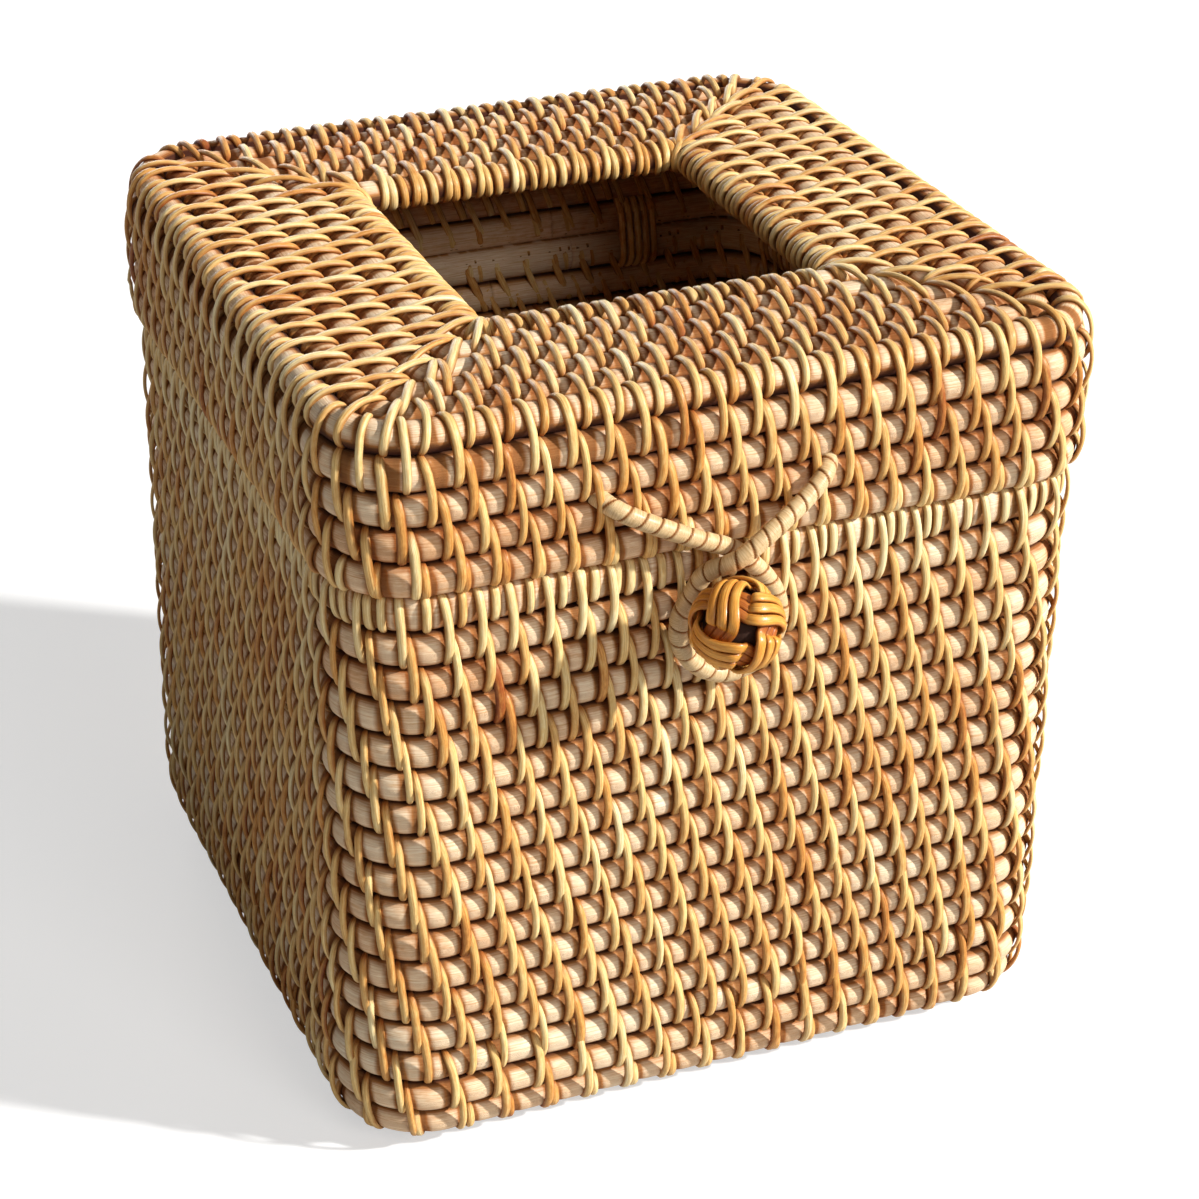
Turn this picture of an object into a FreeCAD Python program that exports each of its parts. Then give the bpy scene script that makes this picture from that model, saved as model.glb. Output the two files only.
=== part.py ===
import FreeCAD, Part
import math
import os

# A square tissue box cover coiled from cane: an open box of stacked courses, a hinged lid with
# a square opening, and a cane loop on the lid that closes over a woven button on the box.
# The origin is at the middle of the underside, +Z is up and the button faces -Y.

# Overall sizes in millimetres
lid_width = 150.0
lid_depth = 148.8
corner_radius = 18.1
body_height = 120.0
lid_height = 32.55
lid_gap = 0.35
lid_overhang = 1.5
body_flare = 0.9
opening_width = 65.4

# Cane courses
cane_thickness = 6.6
body_course_count = 16
rim_course_height = 7.4
foot_course_inset = 1.5
foot_course_lift = 3.0
lid_course_count = 4
edge_course_height = 6.3
edge_course_inset = 1.5
top_course_count = 4
opening_rim_width = 7.4
opening_rim_height = 7.2
base_course_count = 9
base_course_height = 6.5
base_seat_gap = 0.1
section_flat_share = 0.36
corner_bend_count = 6

# Hinge ties
tie_spacing = 80.0
tie_width = 9.0
tie_thickness = 0.9
tie_seat_gap = 0.05
tie_running_gap = 0.2
tie_notch_gap = 0.3
tie_side_gap = 0.5
lid_opening_degrees = 100.0

# Button
button_x = -7.6
button_drop = 7.6
button_stand_off = 14.0
button_radius = 8.5
button_pole = FreeCAD.Vector(-0.19, -0.94, 0.29)
button_lead_count = 3
button_bight_count = 4
button_pass_count = 3
button_reach_degrees = 54.0
button_section_count = 168
strand_width = 1.5
strand_thickness = 0.75
strand_weave_height = 0.7
strand_pitch_narrow = 1.65
strand_pitch_wide = 2.0
weave_sharpness_share = 0.2
lane_change_share = 0.06
core_gap = 0.35
core_side_count = 12
core_row_count = 6
stem_radius = 1.3

# Closing loop
loop_diameter = 3.5
loop_side_count = 6
loop_step_count = 3
loop_bend_share = 0.45
# The loop's middle line: right of the button, out from the lid's front, up from the box's top
loop_route = [
    (-20.8, 0.95, 13.5),
    (-16.3, 2.2, 11.2),
    (-9.6, 2.7, 8.0),
    (-2.6, 2.7, 4.4),
    (4.0, 1.7, 1.4),
    (7.6, 1.5, -2.3),
    (11.4, 1.3, -6.4),
    (14.1, 1.0, -11.9),
    (13.7, 0.9, -18.7),
    (9.9, 0.8, -23.3),
    (4.2, 0.7, -25.0),
    (-1.5, 0.7, -22.5),
    (-5.5, 0.6, -17.0),
    (-5.7, 0.6, -11.1),
    (-3.6, 1.1, -7.1),
    (-1.9, 2.8, -1.6),
    (1.7, 6.0, 0.7),
    (4.5, 6.9, 2.9),
    (9.9, 5.8, 6.0),
    (16.6, 3.6, 8.8),
    (24.6, 0.9, 13.5),
]


def cane_section(half_width, half_height):
    """The eight corners of a cane pressed flat against its neighbours, as (outward, up)."""
    flat_width = half_width * section_flat_share
    flat_height = half_height * section_flat_share
    quarter = [(half_width, flat_height), (flat_width, half_height)]
    upper = quarter + [(-out, up) for out, up in reversed(quarter)]
    return upper + [(out, -up) for out, up in reversed(upper)]


def corner_points(half_x, half_y, radius, bends, z):
    """A rectangle whose corners turn in equal short bends outside an arc of this radius."""
    step = 90.0 / bends
    reach = radius / math.cos(math.radians(step / 2))
    points = [FreeCAD.Vector(0, -half_y, z)]
    corners = [(1, -1, -90), (1, 1, 0), (-1, 1, 90), (-1, -1, 180)]
    for side_x, side_y, start in corners:
        centre_x = side_x * (half_x - radius)
        centre_y = side_y * (half_y - radius)
        for bend in range(bends):
            angle = math.radians(start + (bend + 0.5) * step)
            x = centre_x + reach * math.cos(angle)
            y = centre_y + reach * math.sin(angle)
            points.append(FreeCAD.Vector(x, y, z))
    return points + [points[0]]


def swept_ring(half_x, half_y, radius, bends, section, z):
    """A closed cane course around the axis; half_x, half_y and radius are of its outer face."""
    half_width = max(out for out, up in section)
    path = corner_points(half_x - half_width, half_y - half_width, radius - half_width, bends, z)
    if radius < half_width:
        path = corner_points(half_x - half_width, half_y - half_width, 0, 1, z)
    start = path[0]
    outline = [start + FreeCAD.Vector(0, -out, up) for out, up in section]
    profile = Part.makePolygon(outline + [outline[0]])
    return Part.makePolygon(path).makePipeShell([profile], True, False, 1)


def nested_ring(half_x, half_y, radius, half_width, half_height, z):
    """A course that lies inside another one of the same plane, whose inner corners it follows."""
    section = cane_section(half_width, half_height)
    if radius >= 2 * half_width:
        return swept_ring(half_x, half_y, radius, corner_bend_count, section, z)
    ring = swept_ring(half_x, half_y, 0, 1, section, z)
    if radius <= 0:
        return ring
    outline = corner_points(half_x, half_y, radius, corner_bend_count, z - half_height)
    column = Part.Face(Part.makePolygon(outline)).extrude(FreeCAD.Vector(0, 0, 2 * half_height))
    return ring.common(column).removeSplitter()


def body_courses():
    """The wall of the box from its foot to its rim, each course resting on the one below."""
    courses = {}
    stack_height = body_height - rim_course_height - foot_course_lift
    course_height = stack_height / body_course_count
    rim_half_x = lid_width / 2 - lid_overhang
    rim_half_y = lid_depth / 2 - lid_overhang
    section = cane_section(cane_thickness / 2, course_height / 2)
    for number in range(1, body_course_count + 1):
        z = foot_course_lift + (number - 0.5) * course_height
        spread = body_flare * (1 - number / (body_course_count + 1))
        inset = foot_course_inset if number == 1 else 0
        shift = spread - inset
        courses["body_course_%02d" % number] = swept_ring(
            rim_half_x + shift, rim_half_y + shift, corner_radius + shift, corner_bend_count, section, z
        )
    rim_section = cane_section(cane_thickness / 2, rim_course_height / 2)
    courses["body_rim_course"] = swept_ring(
        rim_half_x, rim_half_y, corner_radius, corner_bend_count, rim_section, body_height - rim_course_height / 2
    )
    return courses


def base_courses():
    """The floor of the box: square courses inside one another around a short middle cane."""
    courses = {}
    stack_height = body_height - rim_course_height - foot_course_lift
    course_height = stack_height / body_course_count
    flare = body_flare * body_course_count / (body_course_count + 1)
    foot_shift = flare - foot_course_inset - lid_overhang
    foot_middle_z = foot_course_lift + course_height / 2
    # The outermost base course leans its upper slope on the lower slope of the foot course.
    foot_reach = (cane_thickness + course_height) / 2 * (1 + section_flat_share) / 2
    base_reach = (cane_thickness + base_course_height) / 2 * (1 + section_flat_share) / 2
    climb = foot_middle_z - base_course_height / 2
    lean = foot_reach + base_reach + base_seat_gap - climb
    half_x = lid_width / 2 + foot_shift - lean
    half_y = lid_depth / 2 + foot_shift - lean
    radius = corner_radius + foot_shift + lid_overhang - lean
    pitch = min(half_x, half_y) / (base_course_count + 0.5)
    z = base_course_height / 2
    for number in range(1, base_course_count + 1):
        courses["base_course_%02d" % number] = nested_ring(
            half_x, half_y, radius, pitch / 2, base_course_height / 2, z
        )
        half_x -= pitch
        half_y -= pitch
        radius = max(radius - pitch, 0)
    # The middle cane fills what is left, along the longer side of it.
    half_length = max(half_x, half_y)
    section = cane_section(min(half_x, half_y), base_course_height / 2)
    outline = [FreeCAD.Vector(-half_length, out, z + up) for out, up in section]
    face = Part.Face(Part.makePolygon(outline + [outline[0]]))
    middle_cane = face.extrude(FreeCAD.Vector(2 * half_length, 0, 0))
    if half_y > half_x:
        middle_cane.rotate(FreeCAD.Vector(0, 0, 0), FreeCAD.Vector(0, 0, 1), 90)
    courses["base_middle_cane"] = middle_cane
    return courses


def lid_levels():
    """The lid's underside and top, and the height of each course of its wall."""
    underside = body_height + lid_gap
    course_height = (lid_height - edge_course_height) / lid_course_count
    return underside, underside + lid_height, course_height


def lid_wall_courses():
    """The lid's wall from its lowest course to the edge course around the top."""
    courses = {}
    underside, top, course_height = lid_levels()
    section = cane_section(cane_thickness / 2, course_height / 2)
    for number in range(1, lid_course_count + 1):
        z = underside + (number - 0.5) * course_height
        courses["lid_course_%d" % number] = swept_ring(
            lid_width / 2, lid_depth / 2, corner_radius, corner_bend_count, section, z
        )
    edge_section = cane_section(cane_thickness / 2, edge_course_height / 2)
    courses["lid_edge_course"] = swept_ring(
        lid_width / 2 - edge_course_inset,
        lid_depth / 2 - edge_course_inset,
        corner_radius - edge_course_inset,
        corner_bend_count,
        edge_section,
        top - edge_course_height / 2,
    )
    return courses


def lid_top_courses():
    """The flat top: mitred square courses from the edge course in to the opening's rim."""
    courses = {}
    underside, top, course_height = lid_levels()
    panel_width = (lid_width - opening_width) / 2
    outer_inset = edge_course_inset + cane_thickness
    pitch = (panel_width - outer_inset - opening_rim_width) / top_course_count
    half_x = lid_width / 2 - outer_inset
    half_y = lid_depth / 2 - outer_inset
    radius = corner_radius - outer_inset
    z = top - edge_course_height / 2
    for number in range(1, top_course_count + 1):
        courses["top_course_%d" % number] = nested_ring(
            half_x, half_y, radius, pitch / 2, edge_course_height / 2, z
        )
        half_x -= pitch
        half_y -= pitch
        radius = max(radius - pitch, 0)
    courses["opening_rim"] = nested_ring(
        half_x,
        half_y,
        radius,
        opening_rim_width / 2,
        opening_rim_height / 2,
        top - opening_rim_height / 2,
    )
    return courses


def hinge_axis():
    """The middle of the rim course's back run, where the lid turns."""
    y = lid_depth / 2 - lid_overhang - cane_thickness / 2
    return FreeCAD.Vector(0, y, body_height - rim_course_height / 2)


def carried_cane():
    """The middle of the lid's lowest course along the back, and the circle around its section."""
    underside, top, course_height = lid_levels()
    centre = FreeCAD.Vector(0, lid_depth / 2 - cane_thickness / 2, underside + course_height / 2)
    half = max(cane_thickness, course_height) / 2
    return centre, half * math.hypot(1, section_flat_share)


def belt(lower_radius, upper_radius, width, middle_x):
    """A solid the shape of a belt's inside, around the rim cane and the lid's lowest cane."""
    lower = hinge_axis()
    upper, reach = carried_cane()
    line = upper - lower
    distance = line.Length
    along = line / distance
    across = FreeCAD.Vector(1, 0, 0).cross(along)
    lean = math.asin((lower_radius - upper_radius) / distance)
    side = across * math.cos(lean) + along * math.sin(lean)
    other = along * math.sin(lean) - across * math.cos(lean)
    shift = FreeCAD.Vector(middle_x - width / 2, 0, 0)
    lower += shift
    upper += shift
    edges = [
        Part.LineSegment(lower + side * lower_radius, upper + side * upper_radius).toShape(),
        Part.Arc(
            upper + side * upper_radius, upper + along * upper_radius, upper + other * upper_radius
        ).toShape(),
        Part.LineSegment(upper + other * upper_radius, lower + other * lower_radius).toShape(),
        Part.Arc(
            lower + other * lower_radius, lower - along * lower_radius, lower + side * lower_radius
        ).toShape(),
    ]
    return Part.Face(Part.Wire(edges)).extrude(FreeCAD.Vector(width, 0, 0))


def tie_radii():
    """The inner radii of a tie around the rim cane and around the cane that it carries."""
    rim_half = max(cane_thickness, rim_course_height) / 2
    rim_reach = rim_half * math.hypot(1, section_flat_share)
    return rim_reach + tie_running_gap, carried_cane()[1] + tie_seat_gap


def hinge_tie(middle_x):
    """A cane lashing wound round the lid's lowest course and turning on the box's rim course."""
    turning, seated = tie_radii()
    outside = belt(turning + tie_thickness, seated + tie_thickness, tie_width, middle_x)
    return outside.cut(belt(turning, seated, tie_width, middle_x))


def tie_notch(middle_x, opened_degrees):
    """The room that a tie needs in the courses beside it, with the lid at this angle."""
    turning, seated = tie_radii()
    grow = tie_thickness + tie_notch_gap
    width = tie_width + 2 * tie_side_gap
    room = belt(turning + grow, seated + grow, width, middle_x)
    room.rotate(hinge_axis(), FreeCAD.Vector(-1, 0, 0), opened_degrees)
    return room


def button_frame():
    """The button's centre and three directions: two across it and its pole, away from the box."""
    wall_y = -(lid_depth / 2 - lid_overhang)
    centre = FreeCAD.Vector(button_x, wall_y - button_stand_off, body_height - button_drop)
    pole = FreeCAD.Vector(button_pole).normalize()
    across = FreeCAD.Vector(0, 0, 1).cross(pole).normalize()
    return centre, across, pole.cross(across), pole


def strand_point(turn, lane):
    """A point of the plaited strand, with lane as its distance to one side of the middle pass."""
    rise = math.radians(button_reach_degrees) * math.sin(button_bight_count * turn)
    longitude = button_lead_count * turn
    swing = math.sin(2 * button_bight_count * turn)
    level = swing / math.hypot(swing, weave_sharpness_share)
    level *= math.hypot(1, weave_sharpness_share)
    middle_radius = button_radius - strand_weave_height - strand_thickness / 2
    radius = middle_radius + strand_weave_height * level
    up = FreeCAD.Vector(
        math.cos(rise) * math.cos(longitude), math.cos(rise) * math.sin(longitude), math.sin(rise)
    )
    climb = math.radians(button_reach_degrees) * button_bight_count * math.cos(button_bight_count * turn)
    east = FreeCAD.Vector(-math.sin(longitude), math.cos(longitude), 0)
    north = east.cross(up) * -1
    forward = (east * (button_lead_count * math.cos(rise)) + north * climb).normalize()
    aside = forward.cross(up)
    angle = lane / middle_radius
    normal = up * math.cos(angle) + aside * math.sin(angle)
    return normal * radius, normal, forward


def strand_lane(passed, turn):
    """The strand moves one lane over between passes, and lies wider apart near the poles."""
    whole = math.floor(passed)
    ease = min((passed - whole) / lane_change_share, 1)
    lane = whole - 1 + ease * ease * (3 - 2 * ease) - (button_pass_count - 1) / 2
    near_pole = math.sin(button_bight_count * turn) ** 2
    return lane * (strand_pitch_narrow + (strand_pitch_wide - strand_pitch_narrow) * near_pole)


def skin_solid(rings):
    """A solid from flat facets between successive rings of points, closed at both ends."""
    faces = []
    count = len(rings[0])
    for here, there in zip(rings, rings[1:]):
        for i in range(count):
            j = (i + 1) % count
            faces.append(Part.Face(Part.makePolygon([here[i], here[j], there[j], here[i]])))
            faces.append(Part.Face(Part.makePolygon([here[i], there[j], there[i], here[i]])))
    for end in (rings[0], rings[-1]):
        faces.append(Part.Face(Part.makePolygon(end + [end[0]])))
    shell = Part.makeShell(faces)
    shell.sewShape()
    solid = Part.makeSolid(shell)
    if solid.Volume < 0:
        solid.reverse()
    return solid


def button_strand():
    """One flat cane strand plaited three times along a three-lead, four-bight Turk's head."""
    centre, across, upward, pole = button_frame()
    # It changes lanes and hides both its ends at the back, in the bight that faces the box.
    start_turn = (1.5 / button_bight_count - lane_change_share) * math.pi
    rings = []
    middles = []
    for number in range(button_section_count):
        share = number / button_section_count
        passed = lane_change_share + (button_pass_count - lane_change_share) * share
        turn = start_turn + 2 * math.pi * passed
        middle, normal, forward = strand_point(turn, strand_lane(passed, turn))
        side = forward.cross(normal).normalize()
        corners = []
        for out, over in ((-1, -1), (1, -1), (1, 1), (-1, 1)):
            local = middle + side * (out * strand_width / 2) + normal * (over * strand_thickness / 2)
            corners.append(centre + across * local.x + upward * local.y + pole * local.z)
        rings.append(corners)
        middles.append(middle)
    return skin_solid(rings), middles


def button_core(courses):
    """The ball inside the plait and its stem, which seats in the wall of the box."""
    centre, across, upward, pole = button_frame()
    ball_radius = button_radius - 2 * strand_weave_height - strand_thickness - core_gap

    def ring(radius, along):
        points = []
        for side in range(core_side_count):
            angle = 2 * math.pi * side / core_side_count
            flat = across * math.cos(angle) + upward * math.sin(angle)
            points.append(centre + flat * radius + pole * along)
        return points

    rows = []
    for row in range(core_row_count):
        latitude = math.pi * ((row + 0.5) / core_row_count - 0.5)
        rows.append(ring(ball_radius * math.cos(latitude), ball_radius * math.sin(latitude)))
    stem_length = (button_stand_off + cane_thickness / 2) / abs(pole.y)
    core = skin_solid(rows).fuse(skin_solid([ring(stem_radius, -stem_length), ring(stem_radius, 0)]))
    for course in courses:
        core = core.cut(course)
    return core.removeSplitter()


def bent_route(points):
    """Straight runs joined by arcs as large as the runs allow, sampled into short steps."""
    route = [points[0]]
    radii = []
    for before, here, after in zip(points, points[1:], points[2:]):
        back = before - here
        on = after - here
        shorter = min(back.Length, on.Length)
        back.normalize()
        on.normalize()
        half_turn = (math.pi - back.getAngle(on)) / 2
        cut = shorter * loop_bend_share
        radius = cut / math.tan(half_turn)
        radii.append(radius)
        inward = (back + on).normalize()
        centre = here + inward * (radius / math.cos(half_turn))
        first = here + back * cut - centre
        last = here + on * cut - centre
        for step in range(loop_step_count + 1):
            share = step / loop_step_count
            a = math.sin((1 - share) * 2 * half_turn) / math.sin(2 * half_turn)
            b = math.sin(share * 2 * half_turn) / math.sin(2 * half_turn)
            route.append(centre + first * a + last * b)
    return route + [points[-1]], radii


def closure_loop():
    """The wrapped cane loop from the lid's front wall, down round the button's neck and back."""
    # Its ends sit in the groove over the lid's second course, whose height stretches the rise.
    rise = (lid_gap + 2 * lid_levels()[2]) / loop_route[0][2]
    points = []
    for aside, out, up in loop_route:
        z = body_height + (up * rise if up > 0 else up)
        points.append(FreeCAD.Vector(button_x + aside, -(lid_depth / 2 + out), z))
    route, radii = bent_route(points)
    rings = []
    normal = FreeCAD.Vector(0, -1, 0)
    for number, middle in enumerate(route):
        ahead = route[min(number + 1, len(route) - 1)]
        behind = route[max(number - 1, 0)]
        forward = (ahead - behind).normalize()
        normal = (normal - forward * normal.dot(forward)).normalize()
        side = forward.cross(normal)
        ring = []
        for corner in range(loop_side_count):
            angle = 2 * math.pi * corner / loop_side_count
            ring.append(middle + (normal * math.cos(angle) + side * math.sin(angle)) * (loop_diameter / 2))
        rings.append(ring)
    return skin_solid(rings), route, radii


def least_gap(points, thickness, apart):
    """The least space between two stretches of one strand that are at least apart along it."""
    along = [0.0]
    for here, there in zip(points, points[1:]):
        along.append(along[-1] + (there - here).Length)
    least = math.inf
    for i, here in enumerate(points):
        for j in range(i + 1, len(points)):
            if along[j] - along[i] > apart:
                least = min(least, (points[j] - here).Length)
    return least - thickness


def main():
    os.makedirs("parts", exist_ok=True)
    shapes = body_courses()
    shapes.update(base_courses())
    shapes.update(lid_wall_courses())
    shapes.update(lid_top_courses())
    under_rim = "body_course_%02d" % body_course_count
    for name, side in (("left", -1), ("right", 1)):
        middle_x = side * tie_spacing / 2
        shapes["hinge_tie_" + name] = hinge_tie(middle_x)
        shapes[under_rim] = shapes[under_rim].cut(tie_notch(middle_x, lid_opening_degrees))
        shapes["lid_course_2"] = shapes["lid_course_2"].cut(tie_notch(middle_x, 0))
    strand, middles = button_strand()
    shapes["button_strand"] = strand
    behind_button = [shapes["body_course_%02d" % number] for number in range(1, body_course_count + 1)]
    shapes["button_core"] = button_core(behind_button)
    loop, route, radii = closure_loop()
    shapes["closure_loop"] = loop
    print("least gap in the button strand", round(least_gap(middles, strand_thickness, button_radius), 2))
    print("least gap in the loop", round(least_gap(route, loop_diameter, 3 * loop_diameter), 2))
    print("loop bend radii", [round(radius, 1) for radius in radii])
    for name, shape in shapes.items():
        shape.exportStep("parts/%s.step" % name)


main()
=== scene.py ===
import math

import bpy
import numpy as np
from mathutils import Matrix, Vector

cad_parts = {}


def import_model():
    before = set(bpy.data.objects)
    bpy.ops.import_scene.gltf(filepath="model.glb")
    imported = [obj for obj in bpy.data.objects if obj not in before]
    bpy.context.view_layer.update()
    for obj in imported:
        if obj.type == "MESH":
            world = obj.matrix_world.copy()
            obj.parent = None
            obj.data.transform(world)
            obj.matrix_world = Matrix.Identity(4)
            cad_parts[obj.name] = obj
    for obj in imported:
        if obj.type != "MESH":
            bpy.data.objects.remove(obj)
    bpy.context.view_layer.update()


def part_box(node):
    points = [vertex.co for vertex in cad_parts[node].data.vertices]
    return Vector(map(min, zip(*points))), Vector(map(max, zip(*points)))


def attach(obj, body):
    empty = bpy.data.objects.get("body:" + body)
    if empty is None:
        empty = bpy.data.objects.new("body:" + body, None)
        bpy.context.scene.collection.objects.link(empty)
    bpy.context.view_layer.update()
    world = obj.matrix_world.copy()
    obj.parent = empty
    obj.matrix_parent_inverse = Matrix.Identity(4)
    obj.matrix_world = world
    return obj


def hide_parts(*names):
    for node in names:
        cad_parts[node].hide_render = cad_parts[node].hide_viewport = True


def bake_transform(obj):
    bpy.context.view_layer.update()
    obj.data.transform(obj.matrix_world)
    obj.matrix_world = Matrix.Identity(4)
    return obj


# A square tissue box cover coiled from round cane. Every course is a round cane core, bound to
# the next one by peel strips that each pass over two courses. Lengths are in millimetres here.

MM = 0.001
SEED = 20
rng = np.random.default_rng(SEED)

# Camera at the photograph's viewing angle
CAMERA_PLACE = (-197.83, -469.87, 355.00)
CAMERA_AZIMUTH = -23.24
CAMERA_ELEVATION = 29.14
CAMERA_ROLL = 0.95
CAMERA_LENS = 85.95
CAMERA_SENSOR = 36.0
CAMERA_NEAR = 0.01

# Cores: the round canes
CORE_SIDES = 20
CORE_STEP = 0.6
CORE_GIRTH = 18
CORE_END_GAP = 0.15
CORE_END_SPREAD = 30.0
CORE_WAVER = 0.13
WAVER_COUNT = 6
WAVER_LOBES = 3
WAVER_RANGE = (6, 90)
PHASE_RANGE = 6.28
CORE_TONE = (0.36, 0.12)
# GROOVE_START, GROOVE_SPAN and GROOVE_POWER place the painted shade in each cane's grooves, where it
# meets the next course
GROOVE_START = 0.68
GROOVE_SPAN = 0.28
GROOVE_POWER = 1.2
CORNER_SPREAD = 0.13
CORNER_SPREAD_START = 1.8
PINCH_DEPTH = 0.3
PINCH_EASE = 0.3
PINCH_REACH = 1.3
# Painted shade on each cane beside its strips: where it starts from a strip's middle, how dark it gets
# and how far it reaches
STRIP_EDGE_SHARE = 0.45
CONTACT_PAINTED_SHADE = 0.68
CONTACT_REACH = 0.45
# An even painted shade on the canes' inward faces and on the strips inside the box
INSIDE_PAINTED_SHADE = 0.2
INSIDE_FACING = -0.1
# Painted light: the rim course's cane and strips are painted paler by this much, so that they read as
# lit below the lid's overhang
RIM_PAINTED_LIGHT = 0.5

# Where the lid meets the box
SEAM_ROUNDNESS = 0.5
SEAM_REACH = 0.15
SEAM_SINK = 0.72
SINK_POWER = 4
SEAM_TUCK = 0.7
SEAM_TUCK_RAMP = 3
# The share of the painted groove shade that the canes keep on the sides where the lid and box meet
SEAM_PAINTED_SHADE = 0.3
HINGE_PRESS = 0.4
HINGE_FROM_Y = 60
HINGE_HEIGHT = 117.5
HINGE_HALF_HEIGHT = 10.5

# Courses: their widths, and the room that each leaves for the strips
WALL_WIDTH = 6.6
EDGE_WIDTH = 7.0
TOP_WIDTH = 7.1
BASE_WIDTH = 7.35
EDGE_COVER = 0.6
EDGE_PRESS = 0.4
OPENING_UNDER = 0.6
FOOT_UNDER = 0.45
COVER = 0.85
INNER_COVER = 0.4
TOP_COVER = 0.85
TOP_INNER_COVER = 0.5
BASE_COVER = 1.5
WALL_CORNER = 18.1
BASE_CORNER = 10.0
TIGHT_CORNER = 6
LEAST_CORNER_RADIUS = 2.5
LEAST_CORNER_LENGTH = 17.0
BODY_COURSES = 16
BASE_COURSES = 9
LID_COURSES = 4
TOP_COURSES = 4
MIDDLE_ROWS = 14
MIDDLE_INSET = 0.05
MIDDLE_ROUNDING = 1.6
MIDDLE_END_SHARE = 0.75
MIDDLE_ROOM = 0.4
MIDDLE_TONE = 0.4
MIDDLE_GRAIN = 3

# Binding strips
STRIP_WIDTH = 1.65
STRIP_THICKNESS = 0.75
INNER_STRIP_THICKNESS = 0.5
WIDTH_RANGE = (0.82, 1.2)
THICKNESS_RANGE = (0.88, 1.12)
TAPER_SHARE = 0.14
TAPER_POWER = 0.7
END_WIDTH_SHARE = 0.55
END_THICKNESS_SHARE = 0.6
STRIP_TONE = (0.42, 0.2)
# Painted shade towards each strip's ends, where it dives between the canes: the share of its length,
# the curve and the darkest amount
END_SHADE_SHARE = 0.2
END_SHADE_POWER = 1.5
END_PAINTED_SHADE = 0.85
GRAIN_RUN = 400
START_SPREAD = 0.16
LEAN_SPREAD = 0.28
PLACE_SPREAD = 0.2
ARC_SAMPLES = 24
INNER_ARC_SAMPLES = 16
LINE_SAMPLES = 90
INNER_LINE_SAMPLES = 60
OUTER_SAMPLES = 21
OUTER_SMOOTHING = 5
INNER_SAMPLES = 9
INNER_SMOOTHING = 6
LEAVE_DEGREES = 30.0
INNER_SAG_DEGREES = 17.0
GROOVE_DEGREES = 14.0
FREE_EDGE_DEGREES = 62.0

# Stitch layout, measured on the photograph's front and top
LID_PITCH = 6.82
BODY_PITCH = 6.6
LOW_BODY_PITCH = 7.7
LOW_BODY_ROW = 14
TOP_PITCH = 6.8
BASE_PITCH = 7.2
WALL_DRIFT = (0.0, 0.85, 1.25, 1.4, 1.25)
WALL_ROW_SHIFT = 2.25
FRONT_PANEL_DRIFT = (0.0, -0.55, -1.05, -1.55, -2.0)
FRONT_PANEL_SHIFT = 2.4
SIDE_PANEL_DRIFT = (0.0, 0.9, 1.4, 1.7, 1.9)
SIDE_PANEL_SHIFT = 2.3
PANELS = ((FRONT_PANEL_SHIFT, FRONT_PANEL_DRIFT), (SIDE_PANEL_SHIFT, SIDE_PANEL_DRIFT)) * 2
EDGE_SPACING = 3.1
WARP_TOP = 3.2
WARP_STEP = -0.55
WARP_HALF = 60.0
SHORT_STRIP_SHIFTS = (-2.2, -4.5)
SHORT_OUTER_DRIFT = (0.0, 0.25, 0.4)
SHORT_INNER_DRIFT = (0.4, 1.5)
RIM_EXTRA_SHARE = 0.55

# Button and loop
BUTTON_CENTRE = (-7.6, -86.9, 112.4)
BUTTON_POLE = (-0.19, -0.94, 0.29)
BUTTON_RADIUS = 8.5
BUTTON_LEADS = 3
BUTTON_BIGHTS = 4
BUTTON_START = 1.5
BUTTON_PASSES = 3
BUTTON_REACH = 54.0
BUTTON_SECTIONS = 900
BUTTON_STRAND_WIDTH = 0.99
BUTTON_STRAND_THICKNESS = 0.78
BUTTON_WEAVE = 0.7
BUTTON_PITCH = (1.65, 2.0)
BUTTON_END_SHARE = 0.9995
BUTTON_SWELL = 1.05
# Painted shade where the ball's strand passes under itself
BUTTON_PAINTED_SHADE = 0.5
BUTTON_TONE = 0.4
PITH_SIDES = 24
PITH_ROWS = 20
PITH_GAP = 0.35
PITH_RIDGES = 12
PITH_RIDGE_HEIGHT = 0.02
PITH_STEM_ANGLE = 0.2
PITH_POLE_ANGLE = 0.12
PITH_GRAIN = 4
PITH_TONE = 0.5
STEM_ROWS = 10
STEM_END = -17.2
STEM_RADIUS = 1.3
STEM_RIPPLE = 0.12
STEM_RIPPLE_RATE = 2.6
STEM_MEETS_SHARE = 0.98
WEAVE_SHARPNESS = 0.2
LANE_CHANGE = 0.06
LOOP_DIAMETER = 3.5
LOOP_WRAP_PITCH = 3.1
LOOP_SPLINE_ORDER = 3
LOOP_SPLINE_STEPS = 10
LOOP_SECTIONS = 800
LOOP_SIDES = 20
LOOP_SEAM_SHARE = 0.06
LOOP_SEAM_FLAT = 1.4
LOOP_SEAM_DEPTH = 0.13
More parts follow.
